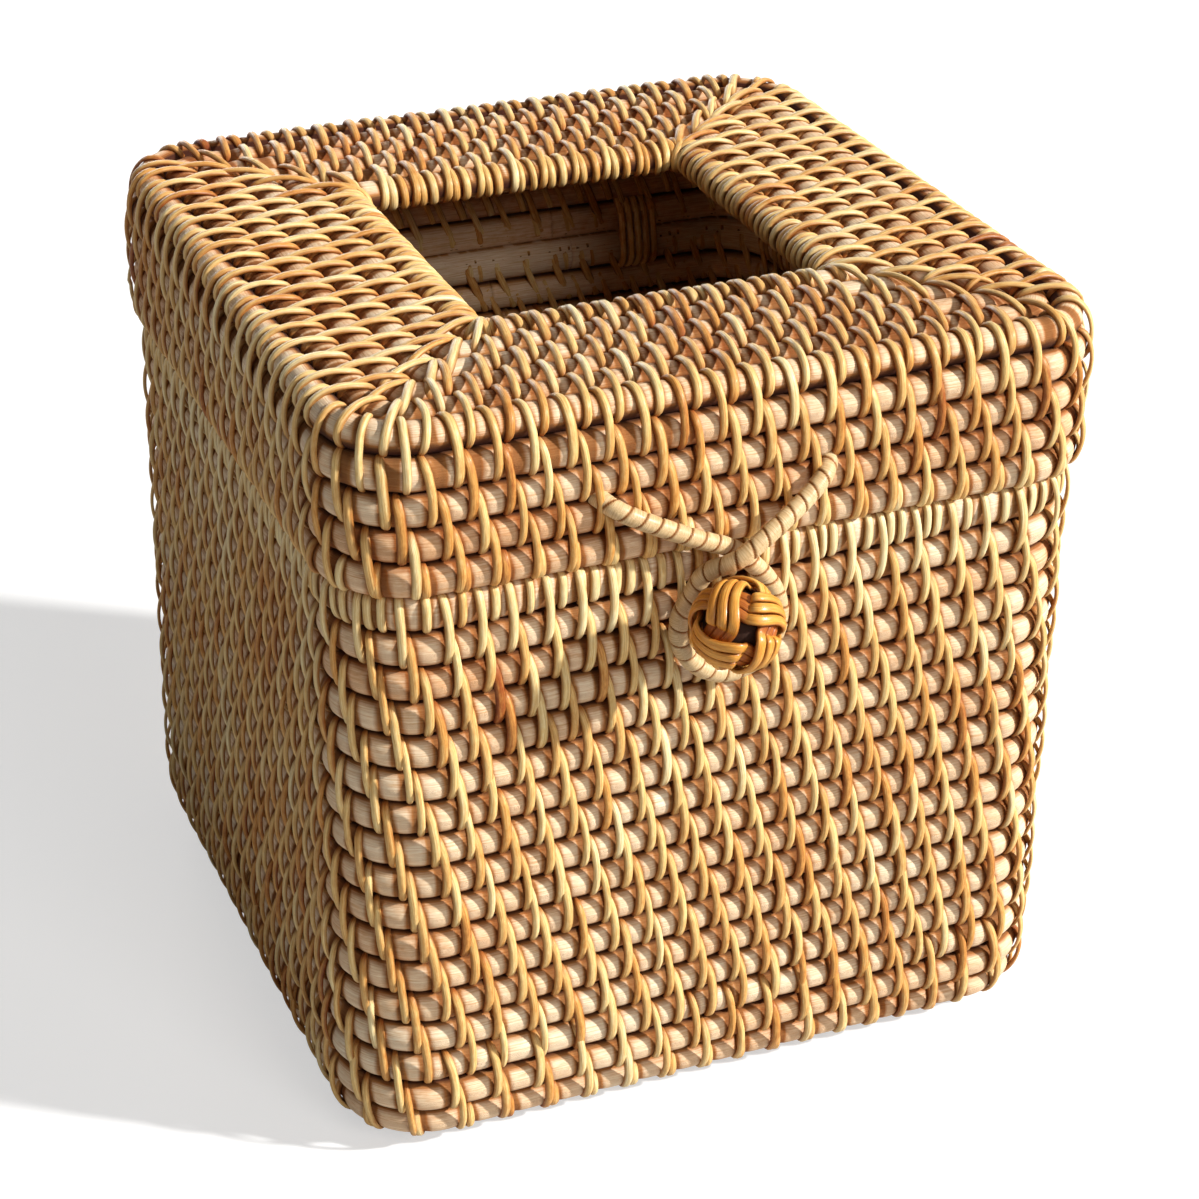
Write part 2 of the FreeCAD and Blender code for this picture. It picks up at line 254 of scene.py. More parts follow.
# Painted shade in the seams between the wrap's turns
LOOP_SEAM_PAINTED_SHADE = 0.8
LOOP_SIZE_SHARE = 0.97
LOOP_GRAIN_STEP = 11
LOOP_LAP = 0.1
LOOP_TONE = 0.35
LOOP_ROUTE = [
    (-28.0, -71.8, 133.9),
    (-26.6, -75.2, 133.0),
    (-22.8, -76.6, 130.9),
    (-17.2, -77.1, 128.0),
    (-10.2, -77.1, 124.4),
    (-3.6, -76.1, 121.4),
    (0.0, -75.9, 117.7),
    (3.8, -75.7, 113.6),
    (6.5, -75.4, 108.1),
    (6.1, -75.3, 101.3),
    (2.3, -75.2, 96.7),
    (-3.4, -75.1, 95.0),
    (-9.1, -75.1, 97.5),
    (-13.1, -75.0, 103.0),
    (-13.3, -75.0, 108.9),
    (-11.2, -75.5, 112.9),
    (-9.5, -77.2, 118.4),
    (-5.9, -80.4, 120.7),
    (-3.1, -81.3, 122.9),
    (2.3, -80.2, 126.0),
    (8.4, -78.0, 128.7),
    (14.9, -75.3, 132.6),
    (16.2, -71.8, 133.6),
]

# Hinge ties
TIE_CENTRES_X = (-40.0, 40.0)
TIE_STRIPS = 5
TIE_WIDTH = 9.0
TIE_THICKNESS = 0.8
TIE_LOWER_RADIUS = 4.15
TIE_UPPER_RADIUS = 3.62
TIE_CANE_DEPTH = 3.3
TIE_SECTIONS = 58
TIE_TOP_POINTS = 16
TIE_BOTTOM_POINTS = 18
TIE_OVERLAP = 3
TIE_LEAN = 0.25
TIE_WIDTH_RANGE = (0.9, 0.98)
TIE_THICKNESS_RANGE = (0.9, 1.0)
TIE_TONE_RANGE = (0.25, 0.6)


def srgb(red, green, blue):
    """A linear colour from the 0 to 255 values that a picture of it shows."""
    def linear(value):
        value = value / 255
        return value / 12.92 if value <= 0.04045 else ((value + 0.055) / 1.055) ** 2.4
    return (linear(red), linear(green), linear(blue), 1.0)


# Materials

WHITE = (1.0, 1.0, 1.0, 1.0)
# The colour that strands are darkened towards near their edges, and where the darkening starts as a
# share of its reach from the middle
EDGE_DARK_COLOUR = (0.42, 0.25, 0.12, 1.0)
EDGE_DARK_START = 0.55
# The colour that painted shade multiplies a surface towards
HOLLOW_SHADE = (0.50, 0.28, 0.13, 1.0)
FINE_STRETCH = (0.16, 5.0, 40.0)
FLECK_STRETCH = (0.55, 1.6, 70.0)

# Each noise's detail and roughness
PATCH_NOISE = (2.0, 0.55)
FINE_NOISE = (4.0, 0.6)
FLECK_NOISE = (3.0, 0.7)
PATCH_SCALE = 30.0

# How the noises make the tone, the colour and the gloss
OWN_TONE_SHARE = 0.62
PATCH_SHARE = 0.7
FLECK_SHARE = 0.55
TONE_BASE = 0.2
GRAIN_STOPS = (0.36, 0.6)
FLECK_ROUGHNESS = 0.22
HOLLOW_ROUGHNESS = 0.4
SPECULAR_LEVEL = 0.3
COAT_ROUGHNESS = 0.22
RELIEF_DISTANCE = 0.0002


def new_material(name):
    material = bpy.data.materials.new(name)
    material.use_nodes = True
    nodes = material.node_tree.nodes
    nodes.clear()
    output = nodes.new("ShaderNodeOutputMaterial")
    shader = nodes.new("ShaderNodeBsdfPrincipled")
    material.node_tree.links.new(shader.outputs["BSDF"], output.inputs["Surface"])
    return material, material.node_tree, shader


def feed(tree, socket, value):
    """Links another node's output to the socket, or gives it a plain value."""
    if isinstance(value, bpy.types.NodeSocket):
        tree.links.new(value, socket)
    else:
        socket.default_value = value


def math_node(tree, operation, *values):
    node = tree.nodes.new("ShaderNodeMath")
    node.operation = operation
    for socket, value in zip(node.inputs, values):
        feed(tree, socket, value)
    return node.outputs[0]


def clamped(tree, value):
    node = tree.nodes.new("ShaderNodeClamp")
    tree.links.new(value, node.inputs[0])
    return node.outputs[0]


def ramp_node(tree, value, stops):
    node = tree.nodes.new("ShaderNodeValToRGB")
    ramp = node.color_ramp
    while len(ramp.elements) < len(stops):
        ramp.elements.new(0.5)
    for element, (place, colour) in zip(ramp.elements, stops):
        element.position = place
        element.color = colour
    tree.links.new(value, node.inputs[0])
    return node.outputs[0]


def noise_node(tree, vector, scale, detail, roughness):
    node = tree.nodes.new("ShaderNodeTexNoise")
    node.inputs["Scale"].default_value = scale
    node.inputs["Detail"].default_value = detail
    node.inputs["Roughness"].default_value = roughness
    tree.links.new(vector, node.inputs["Vector"])
    return node.outputs["Fac"]


def scaled_vector(tree, vector, factors):
    node = tree.nodes.new("ShaderNodeVectorMath")
    node.operation = "MULTIPLY"
    tree.links.new(vector, node.inputs[0])
    node.inputs[1].default_value = factors
    return node.outputs[0]


def mix_colour(tree, blend, factor, first, second):
    node = tree.nodes.new("ShaderNodeMix")
    node.data_type = "RGBA"
    node.blend_type = blend
    for number, value in ((0, factor), (6, first), (7, second)):
        feed(tree, node.inputs[number], value)
    return node.outputs[2]


def cane_material(name, tones, grain, dark, roughness, bump, coat=0.0, patch_scale=PATCH_SCALE,
                  edge_darkening=0.0):
    """Cane with grain along each strand, a tone of its own for each strand and painted shade.

    The attribute strand holds millimetres along the strand, place across it and its own tone;
    a second attribute holds the painted shade, 1 where the strand dips out of sight."""
    material, tree, shader = new_material(name)
    attribute = tree.nodes.new("ShaderNodeAttribute")
    attribute.attribute_name = "strand"
    painted_shade = tree.nodes.new("ShaderNodeAttribute")
    painted_shade.attribute_name = "painted_shade"
    split = tree.nodes.new("ShaderNodeSeparateXYZ")
    tree.links.new(attribute.outputs["Vector"], split.inputs[0])
    place = tree.nodes.new("ShaderNodeTexCoord").outputs["Object"]
    patch = noise_node(tree, place, patch_scale, *PATCH_NOISE)
    fine_vector = scaled_vector(tree, attribute.outputs["Vector"], FINE_STRETCH)
    fine = noise_node(tree, fine_vector, 1.0, *FINE_NOISE)
    fleck_vector = scaled_vector(tree, attribute.outputs["Vector"], FLECK_STRETCH)
    fleck = noise_node(tree, fleck_vector, 1.0, *FLECK_NOISE)
    tone = math_node(tree, "MULTIPLY", split.outputs[2], OWN_TONE_SHARE)
    for noise, share in ((patch, PATCH_SHARE), (fleck, FLECK_SHARE)):
        middled = math_node(tree, "SUBTRACT", noise, 0.5)
        tone = math_node(tree, "ADD", tone, math_node(tree, "MULTIPLY", middled, share))
    tone = math_node(tree, "ADD", tone, TONE_BASE)
    colour = ramp_node(tree, tone, [(stop, srgb(*values)) for stop, *values in tones])
    lines = ramp_node(tree, fine, [(GRAIN_STOPS[0], grain), (GRAIN_STOPS[1], WHITE)])
    colour = mix_colour(tree, "MULTIPLY", 1.0, colour, lines)
    # Darker towards the strand's edges
    if edge_darkening:
        across = math_node(tree, "ABSOLUTE", split.outputs[1])
        edge = ramp_node(tree, across, [(edge_darkening * EDGE_DARK_START, WHITE), (edge_darkening, EDGE_DARK_COLOUR)])
        colour = mix_colour(tree, "MULTIPLY", 1.0, colour, edge)
    # Painted shade: the colour is multiplied towards the shade colour, then mixed towards the darkest
    # colour where the shade is deepest
    shade_amount = math_node(tree, "MULTIPLY", painted_shade.outputs["Fac"], 2.0)
    shade = clamped(tree, shade_amount)
    colour = mix_colour(tree, "MULTIPLY", shade, colour, HOLLOW_SHADE)
    deepest_shade = clamped(tree, math_node(tree, "SUBTRACT", shade_amount, 1.0))
    colour = mix_colour(tree, "MIX", deepest_shade, colour, srgb(*dark))
    tree.links.new(colour, shader.inputs["Base Color"])
    rough = math_node(tree, "MULTIPLY", fleck, FLECK_ROUGHNESS)
    rough = math_node(tree, "ADD", rough, roughness - FLECK_ROUGHNESS / 2)
    dull = math_node(tree, "MULTIPLY", shade, HOLLOW_ROUGHNESS)
    rough = math_node(tree, "ADD", rough, dull)
    tree.links.new(rough, shader.inputs["Roughness"])
    shader.inputs["Specular IOR Level"].default_value = SPECULAR_LEVEL
    shader.inputs["Coat Weight"].default_value = coat
    shader.inputs["Coat Roughness"].default_value = COAT_ROUGHNESS
    relief = tree.nodes.new("ShaderNodeBump")
    relief.inputs["Strength"].default_value = bump
    relief.inputs["Distance"].default_value = RELIEF_DISTANCE
    tree.links.new(math_node(tree, "ADD", fine, fleck), relief.inputs["Height"])
    tree.links.new(relief.outputs["Normal"], shader.inputs["Normal"])
    return material


# Each material: the tones from pale to dark, with their places, then the colours of its grain and of
# its deepest painted shade; colours are on the 0 to 255 scale and grain is a share of the colour
MATERIALS = {
    "core": dict(
        name="cane_core", grain=(0.78, 0.64, 0.50, 1.0), dark=(62, 26, 9), roughness=0.55, bump=0.5,
        tones=((0.1, 255, 242, 216), (0.42, 250, 222, 186), (0.7, 230, 180, 132), (0.95, 164, 100, 54)),
    ),
    "strip": dict(
        name="binding_peel", grain=(0.74, 0.60, 0.44, 1.0), dark=(62, 26, 8), roughness=0.44, bump=0.45,
        tones=((0.08, 255, 240, 190), (0.4, 246, 212, 142), (0.68, 224, 164, 86), (0.95, 164, 88, 32)),
        coat=0.08, edge_darkening=0.9,
    ),
    "button": dict(
        name="button_peel", grain=(0.74, 0.56, 0.38, 1.0), dark=(84, 36, 8), roughness=0.34, bump=0.3,
        tones=((0.1, 255, 218, 128), (0.45, 240, 172, 72), (0.9, 176, 96, 26)),
        coat=0.25, patch_scale=90.0, edge_darkening=1.25,
    ),
    "loop": dict(
        name="loop_peel", grain=(0.76, 0.66, 0.54, 1.0), dark=(52, 26, 12), roughness=0.42, bump=0.35,
        tones=((0.1, 244, 224, 182), (0.5, 224, 194, 146), (0.9, 172, 130, 84)),
        coat=0.12,
    ),
    # The pith's near-black tones are painted shade: it shows through the plait's hole as the hole's
    # dark inside
    "pith": dict(
        name="button_pith", grain=(0.7, 0.6, 0.5, 1.0), dark=(30, 14, 6), roughness=0.8, bump=0.4,
        tones=((0.1, 66, 34, 14), (0.9, 34, 15, 5)),
    ),
}


# Mesh building


def normalised(vectors):
    return vectors / np.linalg.norm(vectors, axis=-1, keepdims=True)


def circle(sides):
    """Angles of this many points round a circle."""
    return np.linspace(0, 2 * math.pi, sides, endpoint=False)


def new_object(name, data):
    thing = bpy.data.objects.new(name, data)
    bpy.context.scene.collection.objects.link(thing)
    return thing


def build_mesh(name, points, faces, strand, painted_shade, material):
    """A smooth-shaded object from arrays; points are in millimetres."""
    points = points.reshape(-1, 3)
    mesh = bpy.data.meshes.new(name)
    mesh.vertices.add(len(points))
    mesh.vertices.foreach_set("co", (points * MM).astype(np.float32).ravel())
    loops = []
    starts = []
    at = 0
    for group in faces:
        group = np.asarray(group)
        count, size = group.shape
        loops.append(group.ravel())
        starts.append(at + size * np.arange(count))
        at += group.size
    loops = np.concatenate(loops).astype(np.int32)
    starts = np.concatenate(starts).astype(np.int32)
    mesh.loops.add(len(loops))
    mesh.loops.foreach_set("vertex_index", loops)
    mesh.polygons.add(len(starts))
    mesh.polygons.foreach_set("loop_start", starts)
    mesh.polygons.foreach_set("use_smooth", np.ones(len(starts), bool))
    mesh.update(calc_edges=True)
    mesh.validate()
    for key, kind, field, values in (
        ("strand", "FLOAT_VECTOR", "vector", strand), ("painted_shade", "FLOAT", "value", painted_shade),
    ):
        attribute = mesh.attributes.new(key, kind, "POINT")
        attribute.data.foreach_set(field, values.astype(np.float32).ravel())
    mesh.materials.append(material)
    return new_object(name, mesh)


def stacked(*values):
    """The values as the last axis of one array, each spread over the others' shape."""
    return np.stack(np.broadcast_arrays(*values), axis=-1)


def tube_faces(strands, rows, sides):
    """Quads around many tubes of rows by sides points each, and one cap for each end."""
    base = np.arange(strands)[:, None, None] * rows * sides
    row = np.arange(rows - 1)[None, :, None] * sides
    side = np.arange(sides)
    after = (side + 1) % sides
    here = base + row
    quads = stacked(here + side, here + after, here + sides + after, here + sides + side)
    first = base[:, 0] + side[::-1]
    last = base[:, 0] + (rows - 1) * sides + side
    return [quads.reshape(-1, 4), np.concatenate([first, last])]


# A peel strip's section, as shares of its width and thickness: domed outside and flat below
STRIP_SECTION = [(-0.5, 0.0), (-0.44, 0.52), (-0.2, 0.93), (0.2, 0.93), (0.44, 0.52), (0.5, 0.0)]
BUTTON_SECTION = [
    (-0.5, 0.2), (-0.46, 0.72), (-0.26, 0.97), (0.26, 0.97), (0.46, 0.72), (0.5, 0.2), (0.0, 0.2),
]


def strip_arrays(path, normal, width, thickness, tone, painted_shade, section=STRIP_SECTION):
    """Points, faces and attributes of many strips; path and normal are strips by rows by 3."""
    strips, rows, _ = path.shape
    forward = normalised(np.gradient(path, axis=1))
    side = normalised(np.cross(forward, normal))
    up = np.cross(side, forward)
    section = np.array(section)
    points = (
        path[:, :, None, :]
        + side[:, :, None, :] * (section[:, 0, None] * width[:, :, None, None])
        + up[:, :, None, :] * (section[:, 1, None] * thickness[:, :, None, None])
    )
    steps = np.linalg.norm(np.diff(path, axis=1), axis=2)
    along = np.concatenate([np.zeros((strips, 1)), np.cumsum(steps, axis=1)], axis=1)
    along = along + rng.uniform(0, GRAIN_RUN, strips)[:, None]
    count = len(section)
    across = section[:, 0] * width[:, :, None]
    strand = stacked(along[:, :, None], across, tone[:, None, None])
    shade_points = np.broadcast_to(painted_shade[:, :, None], (strips, rows, count))
    return points.reshape(-1, 3), tube_faces(strips, rows, count), strand.reshape(-1, 3), shade_points.ravel()


def join_arrays(parts):
    points = np.concatenate([part[0] for part in parts])
    strand = np.concatenate([part[2] for part in parts])
    painted_shade = np.concatenate([part[3] for part in parts])
    faces = []
    offset = 0
    for part in parts:
        faces += [group + offset for group in part[1]]
        offset += len(part[0])
    return points, faces, strand, painted_shade


# The square family of lines that every course follows


class Family:
    """Nested rounded squares: offset 0 is the outer face, and inner corners stay small."""

    def __init__(self, half_x, half_y, radius):
        self.half = (half_x, half_y)
        self.radius = radius

    def corner(self, offset):
        return np.maximum(self.radius + offset, LEAST_CORNER_RADIUS)

    def lengths(self, reference):
        """The straight lengths along x and y and the length given to a corner."""
        radius = float(self.corner(reference))
        straight_x = 2 * (self.half[0] + reference - radius)
        straight_y = 2 * (self.half[1] + reference - radius)
        least = LEAST_CORNER_LENGTH if radius < TIGHT_CORNER else 0
        return straight_x, straight_y, max(radius * math.pi / 2, least)

    def sides(self, reference):
        """The straight lengths of the four sides in turn."""
        return np.array(self.lengths(reference)[:2] * 2)

    def corner_middles(self, reference):
        straight_x, _, corner = self.lengths(reference)
        return np.cumsum(self.sides(reference) + corner) - corner / 2 - straight_x / 2

    def total(self, reference):
        straight_x, straight_y, corner = self.lengths(reference)
        return 2 * (straight_x + straight_y) + 4 * corner

    def place(self, s, offset, reference):
        """Points and outward normals at s along the reference line and at these offsets."""
        s, offset = np.broadcast_arrays(np.asarray(s, float), np.asarray(offset, float))
        straight_x, straight_y, corner_length = self.lengths(reference)
        local = np.mod(s + straight_x / 2, self.total(reference))
        starts = np.concatenate([[0], np.cumsum(self.sides(reference)[:3] + corner_length)])
        number = np.searchsorted(starts, local, side="right") - 1
        number = np.clip(number, 0, 3)
        local = local - starts[number]
        even = number % 2 == 0
        length = np.where(even, straight_x, straight_y)
        turn = np.clip((local - length) / corner_length, 0, 1) * math.pi / 2
        a = np.minimum(local, length) - length / 2
        along_half = np.where(even, self.half[0], self.half[1])
        out_half = np.where(even, self.half[1], self.half[0])
        radius = self.corner(offset)
        reference_radius = float(self.corner(reference))
        along_far = along_half + offset - radius
        out_far = out_half + offset - radius
        along_near = along_half + reference - reference_radius
        out_near = out_half + reference - reference_radius
        tangent = np.tan(np.clip(turn, 1e-6, math.pi / 2 - 1e-6))
        centre_a = along_near + (along_far - along_near) * np.minimum(1, tangent)
        centre_b = out_near + (out_far - out_near) * np.minimum(1, 1 / tangent)
        bent = turn > 0
        u = np.where(bent, centre_a + radius * np.sin(turn), a)
        v = np.where(bent, centre_b + radius * np.cos(turn), out_half + offset)
        angle = number * math.pi / 2
        tx, ty = np.cos(angle), np.sin(angle)
        nx, ny = np.sin(angle), -np.cos(angle)
        x = u * tx + v * nx
        y = u * ty + v * ny
        normal_x = np.sin(turn) * tx + np.cos(turn) * nx
        normal_y = np.sin(turn) * ty + np.cos(turn) * ny
        return x, y, normal_x, normal_y


class Course:
    """One course's section: its middle as an offset and a height, and its half sizes."""

    def __init__(self, node, offset, z, half_width, half_height, sink_low=0.0, sink_high=0.0):
        self.node = node
        self.offset = offset
        self.z = z
        self.half_width = half_width
        self.half_height = half_height
        self.sink_low = sink_low
        self.sink_high = sink_high
        # Painted light on the rim course
        self.painted_light = RIM_PAINTED_LIGHT if node == "body_rim_course" else 0.0

    def unit(self, a):
        """The cane's section as shares of its half sizes: a circle, squarer where the lid sits."""
        on_box = (np.sin(a) < 0) & (np.cos(a) <= 0) & (self.sink_low > 0)
        under_lid = (np.sin(a) > 0) & (np.cos(a) >= 0) & (self.sink_high > 0)
        power = np.where(on_box | under_lid, SEAM_ROUNDNESS, 1)
        across = np.sign(np.cos(a)) * np.abs(np.cos(a)) ** power
        upward = np.sign(np.sin(a)) * np.abs(np.sin(a)) ** power
        return across, upward

    def at(self, degrees):
        """Points of the line that strips follow; it sinks into the cane where the lid and box meet."""
        a = np.radians(degrees)
        across, upward = self.unit(a)
        tucked = 1 + SEAM_TUCK * np.clip(-SEAM_TUCK_RAMP * np.cos(a), 0, 1)
        sink = np.where(np.sin(a) > 0, self.sink_high, self.sink_low) * np.sin(a) ** SINK_POWER * tucked
        height = (self.half_height - sink) * upward
        return stacked(self.offset + self.half_width * across, self.z + height)


def heading(first, second):
    return math.degrees(math.atan2(second.z - first.z, second.offset - first.offset))


def resampled(points, count):
    steps = np.linalg.norm(np.diff(points, axis=0), axis=1)
    along = np.concatenate([[0], np.cumsum(steps)])
    wanted = np.linspace(0, along[-1], count)
    return np.stack([np.interp(wanted, along, points[:, k]) for k in range(points.shape[1])], axis=-1)


def clockwise(start, end):
    """The end angle, moved by whole turns so that it follows the start clockwise."""
    while end > start:
        end -= 360
    while end < start - 360:
        end += 360
    return end


def smoothed(points, passes):
    for _ in range(passes):
        points = points.copy()
        points[1:-1] = (points[:-2] + 2 * points[1:-1] + points[2:]) / 4
    return points


def arch(before, after, count=ARC_SAMPLES):
    """The free span of a stiff strip that leaves one cane's surface and lands on the next one's."""
    start, end = before[-1], after[0]
    reach = np.linalg.norm(end - start)
    leaving = normalised(before[-1] - before[-2]) * reach
    landing = normalised(after[1] - after[0]) * reach
    t = np.linspace(0, 1, count)[1:-1, None]
    return (
        (2 * t**3 - 3 * t**2 + 1) * start
        + (t**3 - 2 * t**2 + t) * leaving
        + (3 * t**2 - 2 * t**3) * end
        + (t**3 - t**2) * landing
    )


def first_end(chain, number, side):
    """The angle in the groove before a course, or on its free edge, where a strip dives in."""
    if number > 0:
        return heading(chain[number], chain[number - 1]) + side * GROOVE_DEGREES
    return heading(chain[1], chain[0]) + FREE_EDGE_DEGREES


def last_end(chain, number, side):
    """The same in the groove after a course."""
    if number + 1 < len(chain):
        return heading(chain[number], chain[number + 1]) + side * GROOVE_DEGREES
    return heading(chain[number - 1], chain[number]) - FREE_EDGE_DEGREES


def outer_profile(chain, first, last):
    """The line that a strip takes over the courses first to last, in the section's plane."""
    pieces = []
    for number in range(first, last + 1):
        course = chain[number]
        if number > first:
            begin = heading(chain[number - 1], course) + 90 - LEAVE_DEGREES
        else:
            begin = first_end(chain, number, -1)
        if number < last:
            finish = heading(course, chain[number + 1]) + 90 + LEAVE_DEGREES
        else:
            finish = last_end(chain, number, 1)
        finish = clockwise(begin, finish)
        pieces.append(course.at(np.linspace(begin, finish, ARC_SAMPLES)))
    if len(pieces) == 2:
        pieces.insert(1, arch(pieces[0], pieces[1]))
    line = resampled(np.concatenate(pieces), LINE_SAMPLES)
    return resampled(smoothed(line, OUTER_SMOOTHING), OUTER_SAMPLES)


def inner_profile(chain, first, last):
    """The line of the same strip on the other side, from its end back to the next start."""
    pieces = []
    for number in range(last, first - 1, -1):
        course = chain[number]
        if number == last:
            begin = last_end(chain, number, -1)
        else:
            begin = heading(course, chain[number + 1]) - 90 + INNER_SAG_DEGREES
        if number > first:
            finish = heading(chain[number - 1], course) - 90 - INNER_SAG_DEGREES
        else:
            finish = first_end(chain, number, 1)
        finish = clockwise(begin, finish)
        pieces.append(course.at(np.linspace(begin, finish, INNER_ARC_SAMPLES)))
    line = resampled(np.concatenate(pieces), INNER_LINE_SAMPLES)
    return resampled(smoothed(line, INNER_SMOOTHING), INNER_SAMPLES)


def profile_normals(profile):
    forward = normalised(np.gradient(profile, axis=0))
    return stacked(-forward[:, 1], forward[:, 0])


def lay_strips(family, reference, starts, profile, drift, thickness, flip, inside=0.0, painted_light=0.0):
    """Strips at these starts along the course, each following the profile and drifting sideways."""
    count = len(starts)
    rows = len(profile)
    share = np.linspace(0, 1, rows)
    normals = profile_normals(profile)
    drift = np.atleast_2d(np.asarray(drift, float))
    sway = np.stack([np.interp(share, np.linspace(0, 1, drift.shape[1]), line) for line in drift])
    lean = rng.normal(0, START_SPREAD, (count, 1))
    lean = lean + rng.normal(0, LEAN_SPREAD, (count, 1)) * (share - 0.5)
    s = starts[:, None] + sway + lean
    x, y, normal_x, normal_y = family.place(s, profile[:, 0], reference)
    path = stacked(x, y, profile[:, 1] * flip)
    normal = stacked(normal_x * normals[:, 0], normal_y * normals[:, 0], normals[:, 1] * flip)
    near_seam = np.abs(path[..., 2] - HINGE_HEIGHT) < HINGE_HALF_HEIGHT
    at_hinge = (path[..., 1] > HINGE_FROM_Y) & near_seam & (flip > 0)
    path = path - normal * np.where(at_hinge, HINGE_PRESS, 0)[..., None]
    from_end = np.minimum(share, 1 - share)
    taper = np.clip(from_end / TAPER_SHARE, 0, 1)
    narrowing = END_WIDTH_SHARE + (1 - END_WIDTH_SHARE) * taper ** TAPER_POWER
    thinning = END_THICKNESS_SHARE + (1 - END_THICKNESS_SHARE) * taper
    widths = STRIP_WIDTH * rng.uniform(*WIDTH_RANGE, (count, 1)) * narrowing
    heights = thickness * rng.uniform(*THICKNESS_RANGE, (count, 1)) * thinning
    # A paler tone on the rim course is painted light
    tone = np.clip(rng.normal(STRIP_TONE[0] - painted_light, STRIP_TONE[1], count), 0, 1)
    # Painted shade towards the strip's ends, where they dive between the canes, and the even painted
    # shade of the box's inside
    painted_shade = np.clip(1 - from_end / END_SHADE_SHARE, 0, 1) ** END_SHADE_POWER * END_PAINTED_SHADE
    painted_shade = np.broadcast_to(np.maximum(painted_shade, inside), s.shape)
    if flip < 0:
        path = path[:, ::-1]
        normal = normal[:, ::-1]
    return strip_arrays(path, normal, widths, heights, tone, painted_shade)


def nearest_gap(s, crossings, total):
    """The distance from each place on a closed line to the nearest crossing."""
    ordered = np.sort(np.mod(crossings, total))
    ordered = np.concatenate([[ordered[-1] - total], ordered, [ordered[0] + total]])
    after = np.searchsorted(ordered, np.mod(s, total))
    after = np.clip(after, 1, len(ordered) - 1)
    local = np.mod(s, total)
    return np.minimum(np.abs(local - ordered[after - 1]), np.abs(ordered[after] - local))


def strip_crossings(plans, number, share):
    """Where the strips cross a course, at this share of the way from its first to its last groove."""
    found = []
    for plan, way in ((plans[number], share), (plans[number - 1] if number else None, 1 + share)):
        if plan is None:
            continue
        drift = np.atleast_2d(plan["drift"])
        knots = np.linspace(0, 2, drift.shape[1])
        lines = np.array([np.interp(way, knots, line) for line in drift])
        found.append(plan["starts"] + lines)
    found += plans[number].get("short", [])
    return np.concatenate(found)


def slow_waves(s, total, angle):
    """Random waves along and round a cane, as rows by sides."""
    waves = np.zeros((len(s), len(angle)))
    for _ in range(WAVER_COUNT):
        count = rng.integers(*WAVER_RANGE)
        lengthwise = np.sin(count * 2 * math.pi * s / total + rng.uniform(0, PHASE_RANGE))
        around = np.cos(angle * rng.integers(0, WAVER_LOBES) + rng.uniform(0, PHASE_RANGE))
        waves += lengthwise[:, None] * around
    return waves


def mark_strips(plans, number, s, total, turned, waver, painted_shade):
    """Pinches a cane beside its strips and paints shade there, one side of its section at a time; faces
    that turn into the box get an even painted shade.
    """
    for side, facing in enumerate(np.cos(turned)):
        # Faces that turn into the box get the even painted shade of its inside
        if facing < INSIDE_FACING:
            painted_shade[:, side] = np.maximum(painted_shade[:, side], INSIDE_PAINTED_SHADE)
            continue
        share = np.clip((math.pi / 2 - turned[side]) / math.pi, 0, 1)
        gap = nearest_gap(s, strip_crossings(plans, number, share), total)
        weight = max(facing, 0) ** 0.5
        waver[:, side] += weight * PINCH_DEPTH * (PINCH_EASE - np.exp(-((gap / PINCH_REACH) ** 2)))
        # Painted shade on the cane beside the strip
        beyond = np.maximum(gap - STRIP_WIDTH * STRIP_EDGE_SHARE, 0)
        dark = CONTACT_PAINTED_SHADE * np.exp(-((beyond / CONTACT_REACH) ** 2))
        painted_shade[:, side] = np.maximum(painted_shade[:, side], dark)


def corner_spread(family, reference, s, total):
    """How much the cane of a tight course widens at its corners, as shares of its width."""
    if family.corner(reference) >= TIGHT_CORNER:
        return np.ones(len(s))
    from_corner = nearest_gap(s, family.corner_middles(reference), total)
    corner_share = from_corner / (LEAST_CORNER_LENGTH / 2)
    return 1 + CORNER_SPREAD * np.clip(CORNER_SPREAD_START - corner_share, 0, 1)


